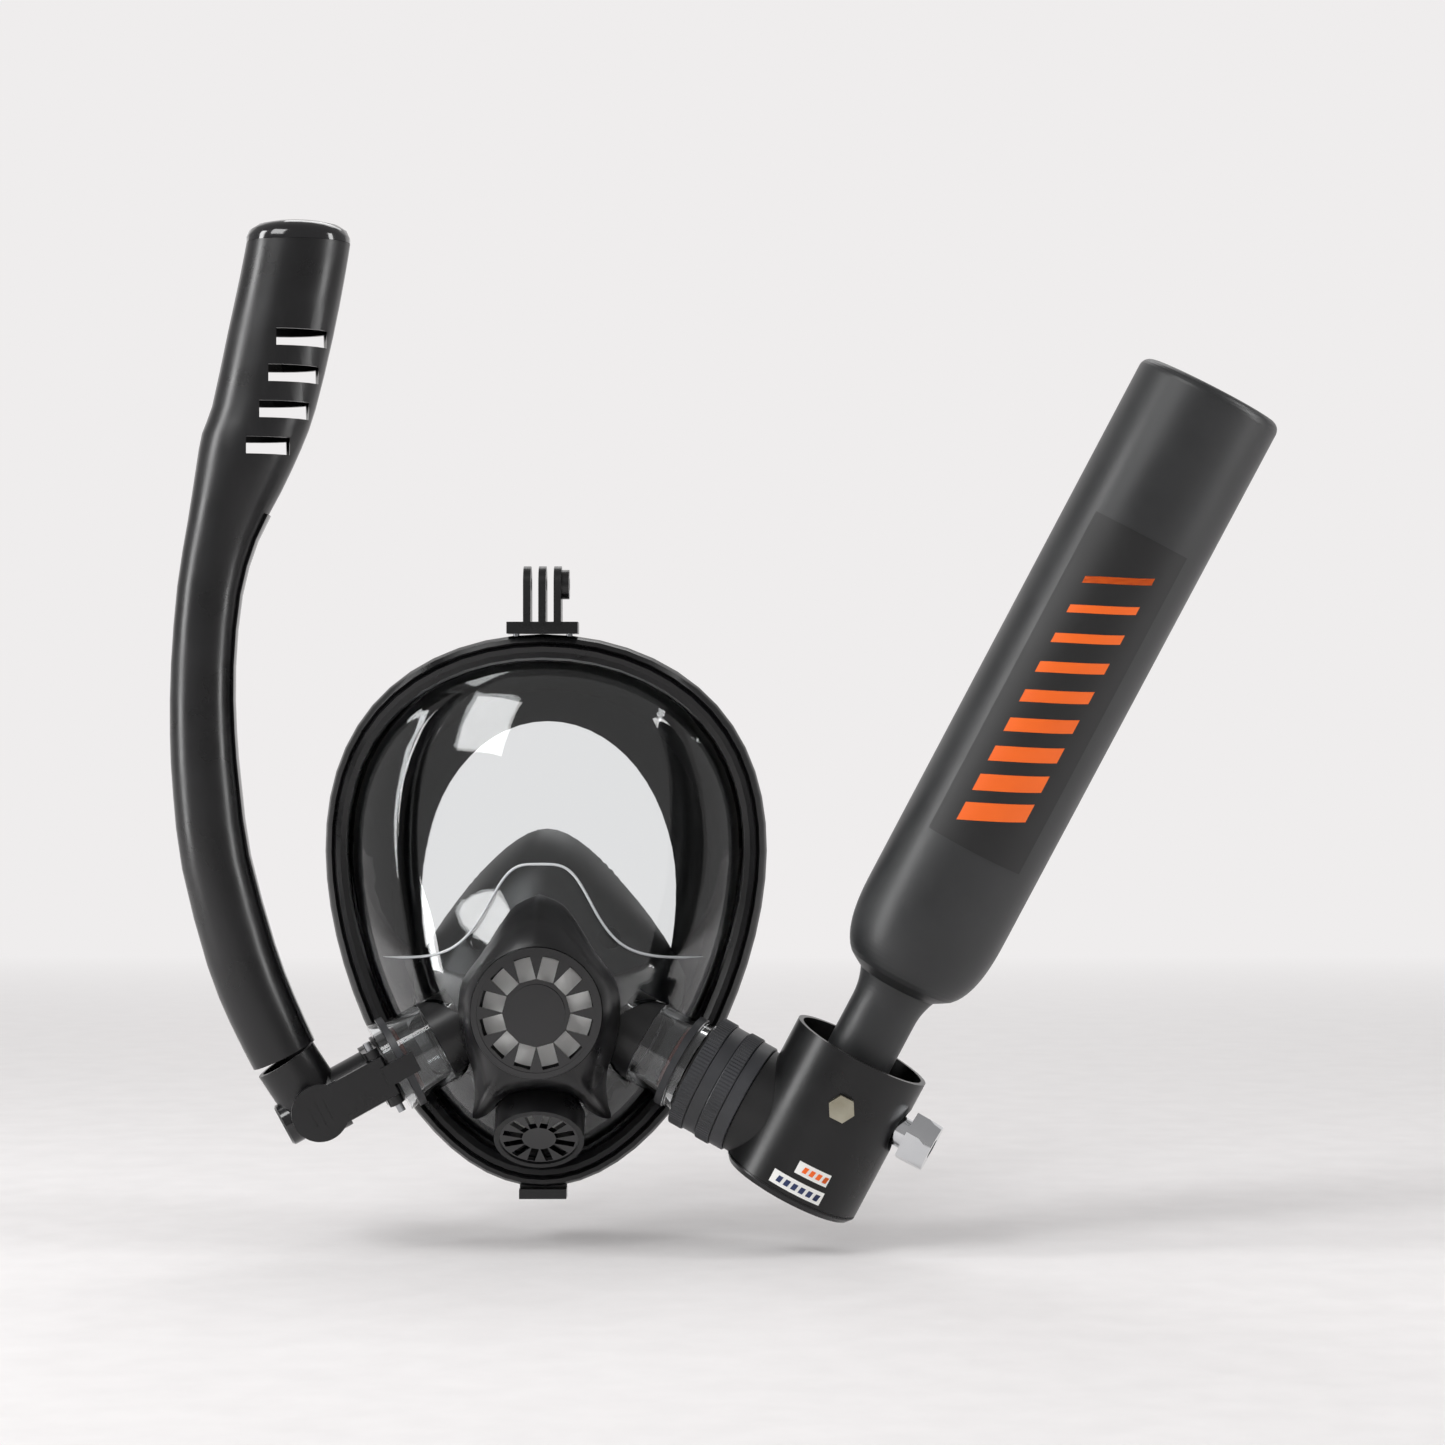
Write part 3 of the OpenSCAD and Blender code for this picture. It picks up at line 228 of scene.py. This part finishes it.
def settle(mesh, sharp_degrees):
    """Smooth shading, broken only at edges sharper than the angle given."""
    if "custom_normal" in mesh.attributes:
        mesh.attributes.remove(mesh.attributes["custom_normal"])
    for face in mesh.polygons:
        face.use_smooth = True
    mesh.set_sharp_from_angle(angle=math.radians(sharp_degrees))


def adopt(name, mesh, body, slot, replaced=()):
    """Makes a mesh a piece of the object, with its body, its finish and what it stands for."""
    piece = bpy.data.objects.new(name, mesh)
    bpy.context.scene.collection.objects.link(piece)
    mesh.materials.clear()
    mesh.materials.append(materials[slot])
    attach(piece, body)
    if replaced:
        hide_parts(*replaced)
    return piece


def moulded(node, sharp_degrees):
    """A merged, smooth-shaded copy of a faceted node."""
    bm = bmesh.new()
    bm.from_mesh(nodes[node].data)
    bmesh.ops.remove_doubles(bm, verts=bm.verts, dist=MERGE_REACH)
    bmesh.ops.dissolve_degenerate(bm, edges=bm.edges, dist=SHORTEST_EDGE)
    mesh = bpy.data.meshes.new(node + "_moulded")
    bm.to_mesh(mesh)
    bm.free()
    settle(mesh, sharp_degrees)
    piece = adopt(node + "_moulded", mesh, node_body[node], node_slot[node], (node,))
    return piece


for shell, angle in MOULDED.items():
    print(shell, "faces", len(moulded(shell, angle).data.polygons))

# %% [markdown]
# The other nodes are made of true cylinders and flats, or are small enough to pass for them,
# so they keep their mesh and only take a finish.

# %% Finish the remaining nodes
# The exhaust and drain flaps take white silicone, a painted highlight that makes the slots of the grilles in front
# of them read bright.
LOOKS = {"exhaust_flap": "silicone_milky", "drain_flap": "silicone_milky",
         "label": "label_film"}
for node, obj in nodes.items():
    if node not in MOULDED:
        obj.data.materials.clear()
        obj.data.materials.append(materials[LOOKS.get(node, node_slot[node])])
print("finished in place", len(nodes) - len(MOULDED))

# %% [markdown]
# The coupling nut has four bands, two raised and ribbed for grip and two plain. Its section
# is spun round the port's axis, then every other point of the raised bands is drawn inwards.

# %% Coupling nut
nut_start, nut_end = along_air("coupling_nut", air_x)
nut_low, nut_high = along_air("coupling_nut", air_y)
nut_r = (nut_high - nut_low) / 2
NUT_BORE = 15.05 * MM
BAND_STEP = 0.7 * MM
BAND_EDGE = 0.35 * MM
NUT_BANDS = 4
NUT_RIBS = 96
RIB_DEPTH = 0.3 * MM
SEAM_REACH = 0.002 * MM


def nut_section():
    """Points of the nut's section as (distance out, radius), a closed loop."""
    width = (nut_end - nut_start) / NUT_BANDS
    points = [(nut_start, NUT_BORE)]
    for band in range(NUT_BANDS):
        a = nut_start + band * width
        r = nut_r - (band % 2) * BAND_STEP
        points += [(a, r - BAND_EDGE), (a + BAND_EDGE, r), (a + width - BAND_EDGE, r),
                   (a + width, r - BAND_EDGE)]
    return points + [(nut_end, NUT_BORE)]


bm = bmesh.new()
ring = [bm.verts.new((d, 0, r)) for d, r in nut_section()]
section_edges = [bm.edges.new((ring[i], ring[(i + 1) % len(ring)])) for i in range(len(ring))]
bmesh.ops.spin(bm, geom=ring + section_edges, cent=(0, 0, 0), axis=(1, 0, 0),
               angle=2 * math.pi, steps=2 * NUT_RIBS, use_merge=True)
bmesh.ops.remove_doubles(bm, verts=bm.verts, dist=SEAM_REACH)
for v in bm.verts:
    turn = round(math.atan2(v.co.y, v.co.z) / math.pi * NUT_RIBS)
    radius = math.hypot(v.co.y, v.co.z)
    if turn % 2 and radius > nut_r - 0.5 * BAND_EDGE:
        shrink = (radius - RIB_DEPTH) / radius
        v.co.y *= shrink
        v.co.z *= shrink
bmesh.ops.recalc_face_normals(bm, faces=bm.faces)
bm.transform(AIR)
nut_mesh = bpy.data.meshes.new("ribbed_nut")
bm.to_mesh(nut_mesh)
bm.free()
settle(nut_mesh, 30)
ribbed_nut = adopt("ribbed_nut", nut_mesh, "nut", "nut_grey", ("coupling_nut",))
print("nut radius mm", round(nut_r / MM, 2), "faces", len(nut_mesh.polygons))

# %% [markdown]
# The real lens has a step from cheek to cheek over the nose, and the step's polished edge
# shows as one thin bright line. The design's lens is smooth there, so only that line is made:
# a thin bead, swept along a path whose every place is found on the lens itself. Its light grey
# colour is a painted highlight, standing for the light that the polished edge catches.

# %% Step of the lens
STEP_PEAK = 19 * MM
STEP_LOW = -19 * MM
STEP_WIDTH = 22 * MM
STEP_REACH = 63 * MM
STEP_RADIUS = 0.55 * MM
STEP_POINTS = 72
STEP_SIDES = 8
STEP_TIP = 0.25
TIP_LENGTH = 6
AHEAD_OF_LENS = -0.3
lens_surface = BVHTree.FromPolygons([v.co for v in nodes["lens"].data.vertices],
                                    [tuple(f.vertices) for f in nodes["lens"].data.polygons])


def on_lens(x, z):
    """The place on the outside of the lens in front of (x, z)."""
    start = Vector((x, AHEAD_OF_LENS, z))
    place, normal, face, distance = lens_surface.ray_cast(start, Vector((0, 1, 0)))
    return place


route = []
for k in range(STEP_POINTS + 1):
    x = STEP_REACH * (2 * k / STEP_POINTS - 1)
    z = STEP_LOW + (STEP_PEAK - STEP_LOW) / (1 + (x / STEP_WIDTH) ** 4)
    place = on_lens(x, z)
    if place:
        route.append(place)
bm = bmesh.new()
hoops = []
for i, place in enumerate(route):
    way = (route[min(i + 1, len(route) - 1)] - route[max(i - 1, 0)]).normalized()
    taper = min(1, STEP_TIP + min(i, len(route) - 1 - i) / TIP_LENGTH)
    made = bmesh.ops.create_circle(bm, segments=STEP_SIDES, radius=STEP_RADIUS * taper,
                                   cap_ends=i in (0, len(route) - 1))
    turn = way.to_track_quat("Z", "Y").to_matrix().to_4x4()
    bmesh.ops.transform(bm, matrix=Matrix.Translation(place) @ turn, verts=made["verts"])
    hoops.append([e for e in bm.edges if all(v in made["verts"] for v in e.verts)])
for a, b in zip(hoops, hoops[1:]):
    bmesh.ops.bridge_loops(bm, edges=a + b)
bmesh.ops.recalc_face_normals(bm, faces=bm.faces)
step_mesh = bpy.data.meshes.new("lens_step")
bm.to_mesh(step_mesh)
bm.free()
settle(step_mesh, 60)
# The bead's light grey base colour is a painted highlight, not the colour of clear polycarbonate.
materials["step_painted_highlight"] = finish_of("painted_highlight_lens_step", "#b9bdc0", "#d4d7d9",
                                       0.14, 0.06, 1.4, 0.12)
lens_step = adopt("lens_step", step_mesh, "mask", "step_painted_highlight")
print("lens step points", len(route))

# %% [markdown]
# Printed graphics are thin films wrapped round the cylinder and the cover. Each starts as a
# flat grid, which is bent onto its radius and given the film's thickness. The design is only
# slanted stripes that grow thinner up the label, so it says nothing and stands for nothing.

# %% Wrapped films
FILM = 0.12 * MM
FILM_STEPS = 10
FILM_SEAT = 0.34 * MM
LABEL_MIDDLE = -80


def wrapped(outline_boxes, radius, middle_degrees):
    """Bends flat quads, given as four (across, up) corners in metres, onto a cylinder."""
    bm = bmesh.new()
    for corners in outline_boxes:
        made = bmesh.ops.create_grid(bm, x_segments=FILM_STEPS, y_segments=FILM_STEPS, size=1)
        a, b, c, d = [Vector(p) for p in corners]
        for v in made["verts"]:
            s, t = (v.co.x + 1) / 2, (v.co.y + 1) / 2
            p = a.lerp(b, s).lerp(d.lerp(c, s), t)
            v.co = (p.x, 0, p.y)
    bmesh.ops.solidify(bm, geom=bm.faces[:], thickness=FILM)
    for v in bm.verts:
        turn = math.radians(middle_degrees) + v.co.x / radius
        r = radius + FILM - abs(v.co.y)
        v.co = (r * math.cos(turn), r * math.sin(turn), v.co.z)
    bmesh.ops.recalc_face_normals(bm, faces=bm.faces)
    bm.transform(TANK)
    mesh = bpy.data.meshes.new("film")
    bm.to_mesh(mesh)
    bm.free()
    settle(mesh, 40)
    return mesh


STRIPES = 9
STRIPE_HALF = 12 * MM
STRIPE_RISE = 11 * MM
THICKEST = 7.5 * MM
THINNER_BY = 0.6 * MM
LOW_MARGIN = 8 * MM
BOTH_MARGINS = 34 * MM
label_low, label_high = along_air("label", air_z)
stripe_pitch = (label_high - label_low - BOTH_MARGINS) / (STRIPES - 1)
graphic = []
for k in range(STRIPES):
    z = label_low + LOW_MARGIN + k * stripe_pitch
    thick = THICKEST - THINNER_BY * k
    graphic.append([(-STRIPE_HALF, z), (STRIPE_HALF, z + STRIPE_RISE),
                    (STRIPE_HALF, z + STRIPE_RISE + thick), (-STRIPE_HALF, z + thick)])
orange_bars = adopt("label_bars", wrapped(graphic, tank_r + FILM_SEAT, LABEL_MIDDLE), "air_set",
                    "label_orange")

# %% [markdown]
# The cup wears two small stickers, one a little above the other and turned apart. Each has
# only a row of short leaning bars, where wording would be on a bought set.

# %% Sticker stripes
UPPER_TURN = 7
LOWER_TURN = 0.5
UPPER_HEIGHT = 5 * MM
BAR_LIFT = 1.3 * MM
BAR_SLANT = 0.5 * MM
marks_low, marks_high = along_air("cover_marks", air_z)


def bar_row(count, left, pitch, width, low, height):
    """Corners of a row of leaning bars, from the left one on."""
    starts = [left + pitch * k for k in range(count)]
    return [[(x, low), (x + width, low), (x + width + BAR_SLANT, low + height),
             (x + BAR_SLANT, low + height)] for x in starts]


upper_bars = bar_row(4, -4.4 * MM, 2.9 * MM, 1.7 * MM, marks_high - UPPER_HEIGHT + BAR_LIFT,
                     2.4 * MM)
lower_bars = bar_row(6, -8.6 * MM, 3.2 * MM, 1.9 * MM, marks_low + BAR_LIFT, 2.5 * MM)
upper = adopt("sticker_stripes_orange",
              wrapped(upper_bars, cover_r + FILM_SEAT, LABEL_MIDDLE + UPPER_TURN),
              "air_set", "label_orange")
lower = adopt("sticker_stripes_navy",
              wrapped(lower_bars, cover_r + FILM_SEAT, LABEL_MIDDLE + LOWER_TURN),
              "air_set", "mark_navy")
print("label bars", len(graphic), "upper sticker", upper.name, "lower sticker", lower.name)

# %% [markdown]
# The studio is a pale sweep, flat under the object and curving up well behind it, so that
# the object can be looked at from every side. Its far part shows the camera, mirrors and
# glass its own pale colour whatever light falls on it. The near part keeps the shadow.

# %% Sweep
PALE = linear("#efeded")
SWEEP_HALF = 6.0
SWEEP_BACK = 4.0
SWEEP_BEND = 1.5
SWEEP_TOP = 6.0
GROUND_DROP = 0.012
GLOW_STARTS = 0.35
GLOW_IS_FULL = 1.6
floor_z = cad_box[0].z - GROUND_DROP
bm = bmesh.new()
profile = [(-SWEEP_HALF, 0.0), (SWEEP_BACK, 0.0)]
profile += [(SWEEP_BACK + SWEEP_BEND * math.sin(math.radians(a)),
             SWEEP_BEND * (1 - math.cos(math.radians(a)))) for a in range(10, 91, 10)]
profile.append((SWEEP_BACK + SWEEP_BEND, SWEEP_TOP))
line = [bm.verts.new((-SWEEP_HALF, y, floor_z + z)) for y, z in profile]
edges = [bm.edges.new((line[i], line[i + 1])) for i in range(len(line) - 1)]
out = bmesh.ops.extrude_edge_only(bm, edges=edges)
moved = [g for g in out["geom"] if isinstance(g, bmesh.types.BMVert)]
bmesh.ops.translate(bm, verts=moved, vec=(2 * SWEEP_HALF, 0, 0))
bmesh.ops.recalc_face_normals(bm, faces=bm.faces)
sweep_mesh = bpy.data.meshes.new("sweep")
bm.to_mesh(sweep_mesh)
bm.free()
settle(sweep_mesh, 60)
sweep = bpy.data.objects.new("sweep", sweep_mesh)
bpy.context.scene.collection.objects.link(sweep)
paper = finish_of("pale_textured_paper", "#efeded", "#eae8e8", 0.8, 0.03, 9, 0.4)
sweep_mesh.materials.append(paper)
seen = add(paper, "ShaderNodeLightPath")
far = add(paper, "ShaderNodeSeparateXYZ",
          links={"Vector": add(paper, "ShaderNodeTexCoord").outputs["Object"]})
fade = add(paper, "ShaderNodeMapRange",
           {"From Min": GLOW_STARTS, "From Max": GLOW_IS_FULL, "To Min": 0.0, "To Max": 1.0},
           {"Value": far.outputs["Y"]})
mirrored = add(paper, "ShaderNodeMath", {"operation": "MAXIMUM"})
paper.node_tree.links.new(seen.outputs["Is Camera Ray"], mirrored.inputs[0])
paper.node_tree.links.new(seen.outputs["Is Glossy Ray"], mirrored.inputs[1])
through = add(paper, "ShaderNodeMath", {"operation": "MAXIMUM"})
paper.node_tree.links.new(mirrored.outputs["Value"], through.inputs[0])
paper.node_tree.links.new(seen.outputs["Is Transmission Ray"], through.inputs[1])
amount = add(paper, "ShaderNodeMath", {"operation": "MULTIPLY"})
paper.node_tree.links.new(through.outputs["Value"], amount.inputs[0])
paper.node_tree.links.new(fade.outputs["Result"], amount.inputs[1])
glow = add(paper, "ShaderNodeEmission", {"Color": PALE, "Strength": 1.0})
blend = add(paper, "ShaderNodeMixShader", links={"Fac": amount.outputs["Value"]})
surface = paper.node_tree.nodes["Principled BSDF"]
paper.node_tree.links.new(surface.outputs["BSDF"], blend.inputs[1])
paper.node_tree.links.new(glow.outputs["Emission"], blend.inputs[2])
paper.node_tree.links.new(blend.outputs["Shader"],
                          paper.node_tree.nodes["Material Output"].inputs["Surface"])
print("sweep faces", len(sweep_mesh.polygons), "floor mm", round(floor_z / MM, 1))

# %% [markdown]
# Black plastic shows its shape only through what it reflects, so every lamp is a soft box.
# The key is a large one, high on the left. Two upright strips draw the long bright
# edges on the snorkel and the cylinder, and a weak lamp high behind lights the tops.

# %% Light
STUDIO_LIGHT = 0.45
world = bpy.data.worlds.new("studio")
bpy.context.scene.world = world
world.use_nodes = True
world.node_tree.nodes["Background"].inputs["Color"].default_value = PALE
world.node_tree.nodes["Background"].inputs["Strength"].default_value = STUDIO_LIGHT
target = (cad_box[0] + cad_box[1]) / 2


def soft_box(name, place, width, height, watts):
    """An area lamp aimed at the middle of the object."""
    data = bpy.data.lights.new(name, "AREA")
    data.shape = "RECTANGLE"
    data.size, data.size_y, data.energy = width, height, watts
    lamp = bpy.data.objects.new(name, data)
    lamp.location = place
    lamp.rotation_euler = (target - Vector(place)).to_track_quat("-Z", "Y").to_euler()
    bpy.context.scene.collection.objects.link(lamp)


soft_box("key", (-1.1, -1.5, 1.5), 1.0, 1.0, 22)
soft_box("strip_left", (-1.1, -0.35, 0.3), 0.25, 1.3, 11)
soft_box("strip_right", (1.25, -0.35, 0.3), 0.25, 1.3, 9)
soft_box("back_top", (0.2, 1.1, 1.5), 1.2, 0.6, 6)
print("lamps", [lamp.name for lamp in bpy.data.lights])

# %% [markdown]
# An 85 mm lens looks straight at the middle of the set from about 1.4 m in front of it, far
# enough off that near pieces don't bulge.

# %% Camera
CAMERA_PLACE = (0.0708, -1.392, 0.074)
camera = bpy.data.cameras.new("camera")
camera.lens = 85
camera.sensor_width = 36
eye = bpy.data.objects.new("camera", camera)
eye.location = CAMERA_PLACE
eye.rotation_euler = (math.pi / 2, 0, 0)
bpy.context.scene.collection.objects.link(eye)
bpy.context.scene.camera = eye
bpy.context.scene.view_settings.view_transform = "Standard"
print("camera", [round(c, 3) for c in eye.location], "lens mm", camera.lens)
